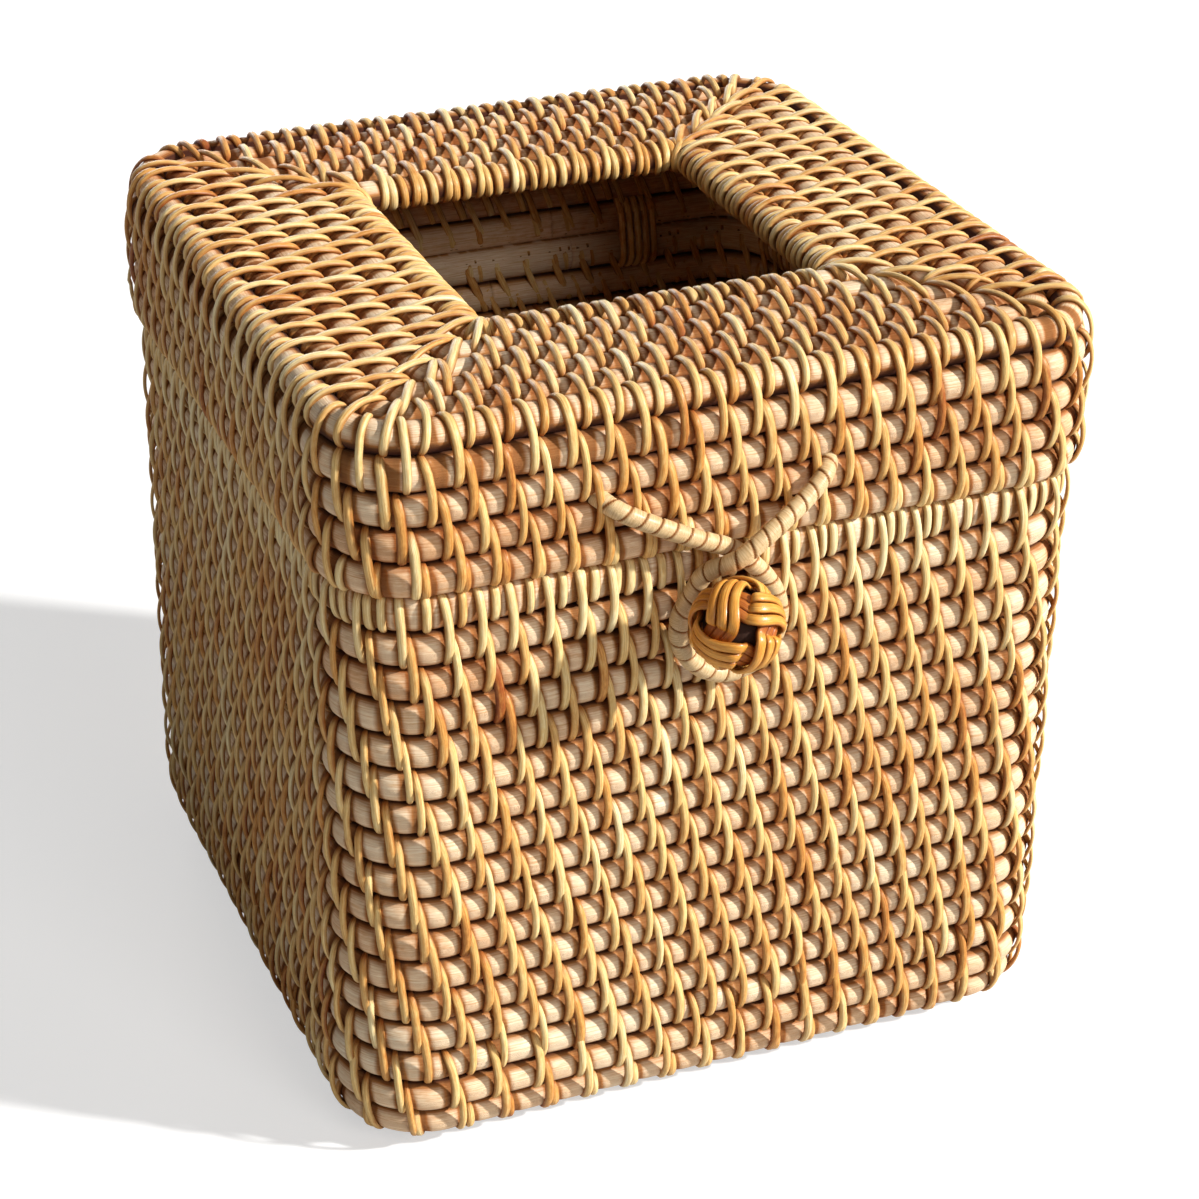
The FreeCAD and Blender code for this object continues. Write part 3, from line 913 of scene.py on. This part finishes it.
def core_object(family, chain, plans, number, material, flip):
    """The round cane of one course: wavering a little, pinched beside each strip, with painted shade
    beside the strips and in its grooves.
    """
    course = chain[number]
    reference = plans[number]["reference"]
    total = family.total(reference)
    steps = int(total / CORE_STEP)
    joint = total / 2 + rng.uniform(-CORE_END_SPREAD, CORE_END_SPREAD)
    s = joint + np.linspace(0, total - CORE_END_GAP, steps)
    angle = circle(CORE_SIDES)
    before = chain[max(number - 1, 0)]
    after = chain[min(number + 1, len(chain) - 1)]
    outward = math.radians(heading(before, after)) + math.pi / 2
    turned = np.mod(angle - outward + math.pi, 2 * math.pi) - math.pi
    waver = slow_waves(s, total, angle)
    waver *= 2 * CORE_WAVER / WAVER_COUNT * np.sqrt(np.abs(np.cos(turned)))
    # Painted shade in the grooves where the cane meets the next course
    groove = np.clip((np.abs(np.sin(turned)) - GROOVE_START) / GROOVE_SPAN, 0, 1) ** GROOVE_POWER
    across, upward = course.unit(angle)
    seam_side = np.where(upward > 0, course.sink_high, course.sink_low) > 0
    # Only a share of that painted shade where the lid and box meet
    groove = np.where(seam_side, groove * SEAM_PAINTED_SHADE, groove)
    painted_shade = np.broadcast_to(groove, (steps, CORE_SIDES)).copy()
    mark_strips(plans, number, s, total, turned, waver, painted_shade)
    size = 1 + waver / course.half_width
    spread = corner_spread(family, reference, s, total)[:, None]
    offset = course.offset + course.half_width * across * size * spread
    x, y, _, _ = family.place(s[:, None], offset, reference)
    tall = course.half_height * upward * np.where(seam_side, 1, np.minimum(size, 1))
    z = (course.z + tall) * flip
    points = stacked(x, y, z)
    # A paler tone on the rim course is painted light
    tone = np.clip(rng.normal(*CORE_TONE) - course.painted_light, 0, 1)
    strand = stacked(s[:, None], angle / (2 * math.pi) * CORE_GIRTH, tone)
    faces = tube_faces(1, steps, CORE_SIDES)
    if flip > 0:
        faces = [faces[0][:, ::-1], faces[1][:, ::-1]]
    made = build_mesh("core_" + course.node, points, faces, strand, painted_shade, material)
    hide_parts(course.node)
    return made


def node_family(node, corner):
    """The family of lines whose outer face is this node's."""
    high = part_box(node)[1]
    return Family(high.x / MM, high.y / MM, corner)


def wall_course(node, family, width, cover=COVER, under=0.0, over=0.0, sink_low=0.0, sink_high=0.0):
    """A course whose core leaves room in its node for the strips."""
    low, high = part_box(node)
    bottom, top, outer = low.z / MM + under, high.z / MM - over, high.x / MM - family.half[0] - cover
    half_width = (width - cover - INNER_COVER) / 2
    return Course(node, outer - half_width, (bottom + top) / 2, half_width, (top - bottom) / 2,
                  sink_low, sink_high)


def plan_for(course, starts, drift, pitch):
    return {"reference": course.offset, "starts": starts, "drift": drift, "pitch": pitch}


def wall_starts(family, reference, pitch, shift):
    """Evenly spaced starts round a wall course, and their pitch."""
    total = family.total(reference)
    count = round(total / pitch)
    starts = np.arange(count) * (total / count) + shift
    return starts + rng.normal(0, PLACE_SPREAD, count), total / count


def top_starts(family, reference, pitch, number, bases):
    """Starts and drifts that keep line from row to row on each side and fan at the corners."""
    straight_x, _, corner = family.lengths(reference)
    starts = []
    drifts = []
    at = -straight_x / 2
    for side, length in enumerate(family.sides(reference)):
        row_shift, drift = PANELS[side]
        here, after = np.array(drift), np.array(PANELS[(side + 1) % 4][1])
        shift = np.mod(bases[side] + number * row_shift, pitch)
        half = length / 2
        first = math.ceil((-half - shift) / pitch)
        last = math.floor((half - shift) / pitch)
        for place in range(first, last + 1):
            starts.append(at + half + place * pitch + shift)
            drifts.append(here)
        fan = max(2, round(corner / pitch))
        for place in range(fan):
            share = (place + 0.5) / fan
            starts.append(at + length + corner * share)
            drifts.append(here * (1 - share) + after * share)
        at += length + corner
    starts = np.array(starts)
    return starts + rng.normal(0, PLACE_SPREAD, len(starts)), np.array(drifts)


def panel_bases(family, edge, rows, pitch):
    """Where each side's first row starts, so that its last row parts evenly with the wall's strips."""
    straight_x, straight_y, corner = family.lengths(edge.offset)
    step = (straight_x + straight_y) / 2 + corner
    total = family.total(edge.offset)
    wall_pitch = total / round(total / pitch)
    bases = []
    for side, (shift, drift) in enumerate(PANELS):
        head = np.mod(WALL_DRIFT[1] - side * step, wall_pitch)
        bases.append(head + EDGE_SPACING - (rows - 1) * shift - drift[3])
    return bases


def stitch(family, chain, first, last, plan, starts, outer_drift, inner_drift, flip):
    """The outer and inner halves of strips that pass over the courses first to last."""
    outer = outer_profile(chain, first, last)
    inner = inner_profile(chain, first, last)
    return [
        lay_strips(family, plan["reference"], starts, outer, outer_drift, STRIP_THICKNESS, flip,
                   painted_light=chain[first].painted_light),
        # The inner halves take the even painted shade of the box's inside
        lay_strips(family, plan["reference"], starts, inner, inner_drift, INNER_STRIP_THICKNESS, flip,
                   inside=INSIDE_PAINTED_SHADE),
    ]


def dress_chain(family, chain, body, materials, plans, flip=1.0):
    """The cores of a chain's courses, then their strips: one object for each course they start on."""
    for number in range(len(chain)):
        made = core_object(family, chain, plans, number, materials["core"], flip)
        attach(made, body)
    for number, course in enumerate(chain):
        plan = plans[number]
        parts = []
        if number + 1 < len(chain):
            drift = np.atleast_2d(plan["drift"])
            back = stacked(drift[:, -1], plan["pitch"])
            parts += stitch(family, chain, number, number + 1, plan, plan["starts"], drift, back, flip)
        if number in (0, len(chain) - 1):
            for short in plan["short"]:
                parts += stitch(family, chain, number, number, plan, short, SHORT_OUTER_DRIFT,
                                SHORT_INNER_DRIFT, flip)
        made = build_mesh("binding_" + course.node, *join_arrays(parts), materials["strip"])
        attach(made, body)


def make_lid(materials):
    family = node_family("lid_course_1", WALL_CORNER)
    chain = [wall_course("opening_rim", family, EDGE_WIDTH, 0.0, OPENING_UNDER, TOP_COVER)]
    for number in range(TOP_COURSES, 0, -1):
        node = "top_course_%d" % number
        chain.append(wall_course(node, family, TOP_WIDTH, 0.0, TOP_INNER_COVER, TOP_COVER))
    rows = len(chain)
    chain.append(wall_course("lid_edge_course", family, EDGE_WIDTH, EDGE_COVER, -EDGE_PRESS, TOP_COVER))
    for number in range(LID_COURSES, 1, -1):
        chain.append(wall_course("lid_course_%d" % number, family, WALL_WIDTH))
    chain.append(wall_course("lid_course_1", family, WALL_WIDTH, under=-SEAM_REACH, sink_low=SEAM_SINK))
    plans = []
    bases = panel_bases(family, chain[rows], rows, LID_PITCH)
    for number, course in enumerate(chain):
        if number < rows:
            starts, drifts = top_starts(family, course.offset, TOP_PITCH, number, bases)
            plans.append(plan_for(course, starts, drifts, TOP_PITCH))
        else:
            wall_shift = (number - rows) * WALL_ROW_SHIFT
            starts, pitch = wall_starts(family, course.offset, LID_PITCH, wall_shift)
            plans.append(plan_for(course, starts, WALL_DRIFT, pitch))
    plans[0]["short"] = [plans[0]["starts"] + shift for shift in SHORT_STRIP_SHIFTS]
    plans[-1]["short"] = [plans[-1]["starts"]]
    dress_chain(family, chain, "lid", materials, plans)


def make_body(materials):
    family = node_family("body_rim_course", WALL_CORNER)
    chain = [wall_course("body_rim_course", family, WALL_WIDTH, over=-SEAM_REACH, sink_high=SEAM_SINK)]
    for number in range(BODY_COURSES, 0, -1):
        under = FOOT_UNDER if number == 1 else 0.0
        chain.append(wall_course("body_course_%02d" % number, family, WALL_WIDTH, under=under))
    plans = []
    for number, course in enumerate(chain):
        pitch = BODY_PITCH if number < LOW_BODY_ROW else LOW_BODY_PITCH
        starts, pitch = wall_starts(family, course.offset, pitch, number * WALL_ROW_SHIFT)
        total = family.total(course.offset)
        from_middle = np.mod(starts + total / 2, total) - total / 2
        warp = WARP_TOP + WARP_STEP * number
        starts = starts + warp * np.minimum((from_middle / WARP_HALF) ** 2, 1)
        plans.append(plan_for(course, starts, WALL_DRIFT, pitch))
    starts = plans[0]["starts"]
    extra = starts[rng.random(len(starts)) < RIM_EXTRA_SHARE]
    plans[0]["short"] = [starts + SHORT_STRIP_SHIFTS[0], extra + SHORT_STRIP_SHIFTS[1]]
    plans[-1]["short"] = [plans[-1]["starts"]]
    dress_chain(family, chain, "box", materials, plans)


def make_base(materials):
    family = node_family("base_course_01", BASE_CORNER)
    chain = []
    for number in range(BASE_COURSES, 0, -1):
        node = "base_course_%02d" % number
        course = wall_course(node, family, BASE_WIDTH, 0.0, BASE_COVER, TOP_INNER_COVER)
        course.z = -course.z
        chain.append(course)
    plans = []
    for number, course in enumerate(chain):
        starts, drifts = top_starts(family, course.offset, BASE_PITCH, number, (0.0, 0.0, 0.0, 0.0))
        plans.append(plan_for(course, starts, drifts, BASE_PITCH))
    for plan in (plans[0], plans[-1]):
        plan["short"] = [plan["starts"] + BASE_PITCH / 2]
    dress_chain(family, chain, "box", materials, plans, flip=-1.0)
    make_middle_cane(materials)


def make_middle_cane(materials):
    """The short straight cane that the base starts from, a little rounded at its ends."""
    low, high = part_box("base_middle_cane")
    lo, hi = np.array(low) / MM, np.array(high) / MM
    middle, half = (lo + hi) / 2, (hi - lo) / 2
    along = np.linspace(lo[0] + MIDDLE_INSET, hi[0] - MIDDLE_INSET, MIDDLE_ROWS)
    angle = circle(CORE_SIDES)
    from_end = np.minimum(along - lo[0], hi[0] - along)
    rounded = np.clip(from_end / MIDDLE_ROUNDING, 0, 1) ** 0.5
    size = (MIDDLE_END_SHARE + (1 - MIDDLE_END_SHARE) * rounded)[:, None]
    y = middle[1] + half[1] * np.cos(angle) * size
    z = middle[2] + (half[2] - MIDDLE_ROOM) * np.sin(angle) * size
    points = stacked(along[:, None], y, z)
    strand = stacked(along[:, None], angle * MIDDLE_GRAIN, MIDDLE_TONE)
    made = build_mesh("core_base_middle_cane", points, tube_faces(1, MIDDLE_ROWS, CORE_SIDES),
                      strand, np.zeros(y.shape), materials["core"])
    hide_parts("base_middle_cane")
    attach(made, "box")


# Button, loop and ties


def button_axes():
    """The ball's own axes as rows: across, upward and outward through its pole."""
    pole = Vector(BUTTON_POLE).normalized()
    across = Vector((0, 0, 1)).cross(pole).normalized()
    return np.stack([np.array(across), np.array(pole.cross(across)), np.array(pole)])


def make_plait(materials):
    """One flat strand that goes three times round the ball, over and under itself."""
    frame_axes = button_axes()
    start = (BUTTON_START / BUTTON_BIGHTS - LANE_CHANGE) * math.pi
    share = np.linspace(0, 1, BUTTON_SECTIONS)
    passed = LANE_CHANGE + (BUTTON_PASSES - LANE_CHANGE) * share * BUTTON_END_SHARE
    turn = start + 2 * math.pi * passed
    whole = np.floor(passed)
    ease = np.minimum((passed - whole) / LANE_CHANGE, 1)
    lane = whole - 1 + ease * ease * (3 - 2 * ease) - (BUTTON_PASSES - 1) / 2
    near = np.sin(BUTTON_BIGHTS * turn) ** 2
    pitch = BUTTON_PITCH[0] + (BUTTON_PITCH[1] - BUTTON_PITCH[0]) * near
    lane = lane * pitch
    rise = math.radians(BUTTON_REACH) * np.sin(BUTTON_BIGHTS * turn)
    longitude = BUTTON_LEADS * turn
    swing = np.sin(2 * BUTTON_BIGHTS * turn)
    level = swing / np.hypot(swing, WEAVE_SHARPNESS) * math.hypot(1, WEAVE_SHARPNESS)
    middle = BUTTON_RADIUS - BUTTON_WEAVE - BUTTON_STRAND_THICKNESS / 2
    radius = middle + BUTTON_WEAVE * level
    up = stacked(np.cos(rise) * np.cos(longitude), np.cos(rise) * np.sin(longitude), np.sin(rise))
    climb = math.radians(BUTTON_REACH) * BUTTON_BIGHTS * np.cos(BUTTON_BIGHTS * turn)
    east = stacked(-np.sin(longitude), np.cos(longitude), 0)
    north = -np.cross(east, up)
    forward = east * (BUTTON_LEADS * np.cos(rise))[:, None] + north * climb[:, None]
    aside = np.cross(normalised(forward), up)
    angle = (lane / middle)[:, None]
    normal = up * np.cos(angle) + aside * np.sin(angle)
    path = normal * (radius - BUTTON_STRAND_THICKNESS / 2)[:, None]
    path = (path @ frame_axes + np.array(BUTTON_CENTRE))[None]
    normal = (normal @ frame_axes)[None]
    width = pitch[None] * BUTTON_STRAND_WIDTH
    thickness = np.full((1, BUTTON_SECTIONS), BUTTON_STRAND_THICKNESS * BUTTON_SWELL)
    # Painted shade where the strand passes under itself
    painted_shade = np.clip(-level, 0, 1)[None] ** 2 * BUTTON_PAINTED_SHADE
    tone = np.array([BUTTON_TONE])
    plait = strip_arrays(path, normal, width, thickness, tone, painted_shade, BUTTON_SECTION)
    made = build_mesh("button_plait", *plait, materials["button"])
    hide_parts("button_strand")
    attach(made, "box")


def make_pith(materials):
    """The ridged ball inside the plait, with the stem that holds it to the box wall."""
    ball = BUTTON_RADIUS - 2 * BUTTON_WEAVE - BUTTON_STRAND_THICKNESS - PITH_GAP
    latitude = np.linspace(-math.pi / 2 + PITH_STEM_ANGLE, math.pi / 2 - PITH_POLE_ANGLE, PITH_ROWS)
    turns = circle(PITH_SIDES)
    ridge = 1 + PITH_RIDGE_HEIGHT * np.sin(turns * PITH_RIDGES)
    stem = np.linspace(STEM_END, -ball * STEM_MEETS_SHARE, STEM_ROWS)
    wide = STEM_RADIUS + STEM_RIPPLE * np.sin(stem * STEM_RIPPLE_RATE)
    radii = np.concatenate([np.broadcast_to(wide[:, None], (STEM_ROWS, PITH_SIDES)),
                            np.cos(latitude)[:, None] * ridge * ball])
    heights = np.concatenate([stem, np.sin(latitude) * ball])
    local = stacked(radii * np.cos(turns), radii * np.sin(turns), heights[:, None])
    points = local @ button_axes() + np.array(BUTTON_CENTRE)
    strand = stacked(heights[:, None], turns * PITH_GRAIN, PITH_TONE)
    # The pith's near-black colour is painted shade of the hole in the plait
    made = build_mesh("button_pith_and_stem", points, tube_faces(1, len(heights), PITH_SIDES),
                      strand, np.zeros(radii.shape), materials["pith"])
    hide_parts("button_core")
    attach(made, "box")


def spline_points(route):
    """Points of the smooth line through a route, as a NURBS curve gives them."""
    curve = bpy.data.curves.new("route", "CURVE")
    curve.dimensions = "3D"
    spline = curve.splines.new("NURBS")
    spline.points.add(len(route) - 1)
    for point, place in zip(spline.points, route):
        point.co = (*[value * MM for value in place], 1.0)
    spline.order_u = LOOP_SPLINE_ORDER
    spline.use_endpoint_u = True
    spline.resolution_u = LOOP_SPLINE_STEPS
    carrier = new_object("route", curve)
    bpy.context.view_layer.update()
    mesh = bpy.data.meshes.new_from_object(carrier)
    points = np.array([vertex.co for vertex in mesh.vertices]) / MM
    bpy.data.objects.remove(carrier)
    bpy.data.curves.remove(curve)
    bpy.data.meshes.remove(mesh)
    return points


def make_loop(materials):
    """The closing loop: a cane wrapped in one peel strip, whose turns show as slanting seams."""
    path = resampled(spline_points(LOOP_ROUTE), LOOP_SECTIONS)
    forward = normalised(np.gradient(path, axis=0))
    normal = np.array([0.0, -1.0, 0.0])
    points = []
    strand = []
    painted_shade = []
    along = 0.0
    angle = circle(LOOP_SIDES)
    for number in range(len(path)):
        if number:
            along += np.linalg.norm(path[number] - path[number - 1])
        normal = normalised(normal - forward[number] * normal.dot(forward[number]))
        side = np.cross(forward[number], normal)
        turns = along / LOOP_WRAP_PITCH + angle / (2 * math.pi)
        phase = np.mod(turns, 1.0)
        seam = np.clip(LOOP_SEAM_FLAT - np.minimum(phase, 1 - phase) / LOOP_SEAM_SHARE, 0, 1)
        lift = LOOP_LAP * (0.5 - phase)
        radius = LOOP_DIAMETER / 2 * (LOOP_SIZE_SHARE - LOOP_SEAM_DEPTH * seam) + lift
        ring = path[number] + radius[:, None] * (
            normal[None] * np.cos(angle)[:, None] + side[None] * np.sin(angle)[:, None])
        points.append(ring)
        grain = angle * LOOP_DIAMETER / 2 + np.floor(turns) * LOOP_GRAIN_STEP
        strand.append(stacked(grain, along, LOOP_TONE))
        # Painted shade in the seams between the turns
        painted_shade.append(seam * LOOP_SEAM_PAINTED_SHADE)
    made = build_mesh("closing_loop", np.concatenate(points), tube_faces(1, len(path), LOOP_SIDES),
                      np.concatenate(strand), np.concatenate(painted_shade), materials["loop"])
    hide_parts("closure_loop")
    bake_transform(made)


def make_ties(materials):
    """Each hinge tie: peel strips wound side by side round the rim cane and the lid's lowest cane."""
    middles = []
    for node in ("body_rim_course", "lid_course_1"):
        low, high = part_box(node)
        middles.append(np.array([high.y / MM - TIE_CANE_DEPTH, (low.z + high.z) / 2 / MM]))
    lower, upper = middles
    line = upper - lower
    reach = np.linalg.norm(line)
    base = math.atan2(line[1], line[0])
    lean = math.asin((TIE_LOWER_RADIUS - TIE_UPPER_RADIUS) / reach)
    tops = np.linspace(base + math.pi / 2 - lean, base - math.pi / 2 + lean, TIE_TOP_POINTS)
    bottoms = tops[-1] - np.linspace(0, math.pi + 2 * lean, TIE_BOTTOM_POINTS)
    ring = [upper + TIE_UPPER_RADIUS * np.array([math.cos(a), math.sin(a)]) for a in tops]
    ring += [lower + TIE_LOWER_RADIUS * np.array([math.cos(a), math.sin(a)]) for a in bottoms]
    ring = np.array(ring + ring[:TIE_OVERLAP])
    ring = resampled(ring, TIE_SECTIONS)
    normals = profile_normals(ring)
    pitch = TIE_WIDTH / TIE_STRIPS
    share = np.linspace(0, 1, TIE_SECTIONS)
    visible = np.zeros((1, TIE_SECTIONS))
    normal = stacked(0, normals[:, 0], normals[:, 1])[None]
    for name, centre_x in zip(("left", "right"), TIE_CENTRES_X):
        parts = []
        for number in range(TIE_STRIPS):
            x = centre_x + (number - (TIE_STRIPS - 1) / 2) * pitch
            path = stacked(x + TIE_LEAN * (share - 0.5), ring[:, 0], ring[:, 1])[None]
            width = np.full((1, TIE_SECTIONS), pitch * rng.uniform(*TIE_WIDTH_RANGE))
            thickness = np.full((1, TIE_SECTIONS), TIE_THICKNESS * rng.uniform(*TIE_THICKNESS_RANGE))
            tone = np.array([rng.uniform(*TIE_TONE_RANGE)])
            parts.append(strip_arrays(path, normal, width, thickness, tone, visible))
        made = build_mesh("hinge_lashing_" + name, *join_arrays(parts), materials["strip"])
        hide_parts("hinge_tie_" + name)
        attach(made, "lid")


# Floor, light and camera

AMBIENT = 0.07
FLOOR_GLOW = 0.55
FLOOR_HALF = 4.0
FLOOR_HEIGHT = -0.0002
FLOOR_GREY = (0.55, 0.55, 0.55, 1.0)
FLOOR_ROUGHNESS = 0.9

# Each sun: its name, the direction that it stands in, its strength, angle and colour
SUNS = (
    ("key", (0.72, -0.48, 0.50), 5.3, 3.0, (1.0, 0.985, 0.96)),
    ("fill", (0.20, -0.80, 0.56), 0.7, 25.0, (1.0, 0.99, 0.97)),
    ("behind", (0.05, 0.98, 0.18), 1.1, 30.0, (1.0, 0.99, 0.97)),
)


def make_floor():
    """A pale floor that glows a little to the camera, so that it reads as white under the shadow."""
    mesh = bpy.data.meshes.new("floor")
    signs = ((-1, -1), (1, -1), (1, 1), (-1, 1))
    mesh.from_pydata([(x * FLOOR_HALF, y * FLOOR_HALF, 0) for x, y in signs], [], [(0, 1, 2, 3)])
    floor = new_object("floor", mesh)
    floor.location.z = FLOOR_HEIGHT
    material, tree, shader = new_material("floor_white")
    shader.inputs["Base Color"].default_value = FLOOR_GREY
    shader.inputs["Roughness"].default_value = FLOOR_ROUGHNESS
    shader.inputs["Emission Color"].default_value = WHITE
    seen = tree.nodes.new("ShaderNodeLightPath").outputs["Is Camera Ray"]
    tree.links.new(math_node(tree, "MULTIPLY", seen, FLOOR_GLOW), shader.inputs["Emission Strength"])
    mesh.materials.append(material)


def make_world():
    """A soft even light on the object, and white where the camera or a reflection sees the world."""
    world = bpy.data.worlds.new("studio")
    bpy.context.scene.world = world
    world.use_nodes = True
    tree = world.node_tree
    tree.nodes.clear()
    output = tree.nodes.new("ShaderNodeOutputWorld")
    background = tree.nodes.new("ShaderNodeBackground")
    rays = tree.nodes.new("ShaderNodeLightPath")
    seen = math_node(tree, "MAXIMUM", rays.outputs["Is Camera Ray"], rays.outputs["Is Glossy Ray"])
    seen = math_node(tree, "MAXIMUM", seen, rays.outputs["Is Transmission Ray"])
    strength = math_node(tree, "ADD", math_node(tree, "MULTIPLY", seen, 1 - AMBIENT), AMBIENT)
    background.inputs["Color"].default_value = WHITE
    tree.links.new(strength, background.inputs["Strength"])
    tree.links.new(background.outputs[0], output.inputs["Surface"])


def add_sun(name, toward, strength, angle, colour):
    light = bpy.data.lights.new(name, "SUN")
    light.energy = strength
    light.angle = math.radians(angle)
    light.color = colour
    lamp = new_object(name, light)
    lamp.rotation_euler = Vector(toward).to_track_quat("Z", "Y").to_euler()


def make_camera():
    azimuth, elevation, roll = np.radians([CAMERA_AZIMUTH, CAMERA_ELEVATION, CAMERA_ROLL])
    level = math.cos(elevation)
    back = Vector((math.sin(azimuth) * level, -math.cos(azimuth) * level, math.sin(elevation)))
    right = Vector((math.cos(azimuth), math.sin(azimuth), 0))
    up = back.cross(right)
    turned_right = right * math.cos(roll) + up * math.sin(roll)
    turned_up = up * math.cos(roll) - right * math.sin(roll)
    data = bpy.data.cameras.new("camera")
    data.lens = CAMERA_LENS
    data.sensor_width = CAMERA_SENSOR
    data.clip_start = CAMERA_NEAR
    camera = new_object("camera", data)
    matrix = Matrix((turned_right, turned_up, back)).transposed().to_4x4()
    matrix.translation = Vector(CAMERA_PLACE) * MM
    camera.matrix_world = matrix
    bpy.context.scene.camera = camera


def main():
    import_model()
    materials = {key: cane_material(**values) for key, values in MATERIALS.items()}
    make_camera()
    make_lid(materials)
    make_body(materials)
    make_base(materials)
    make_plait(materials)
    make_pith(materials)
    make_loop(materials)
    make_ties(materials)
    make_floor()
    make_world()
    for sun in SUNS:
        add_sun(*sun)
    bpy.context.scene.view_settings.view_transform = "Standard"


main()
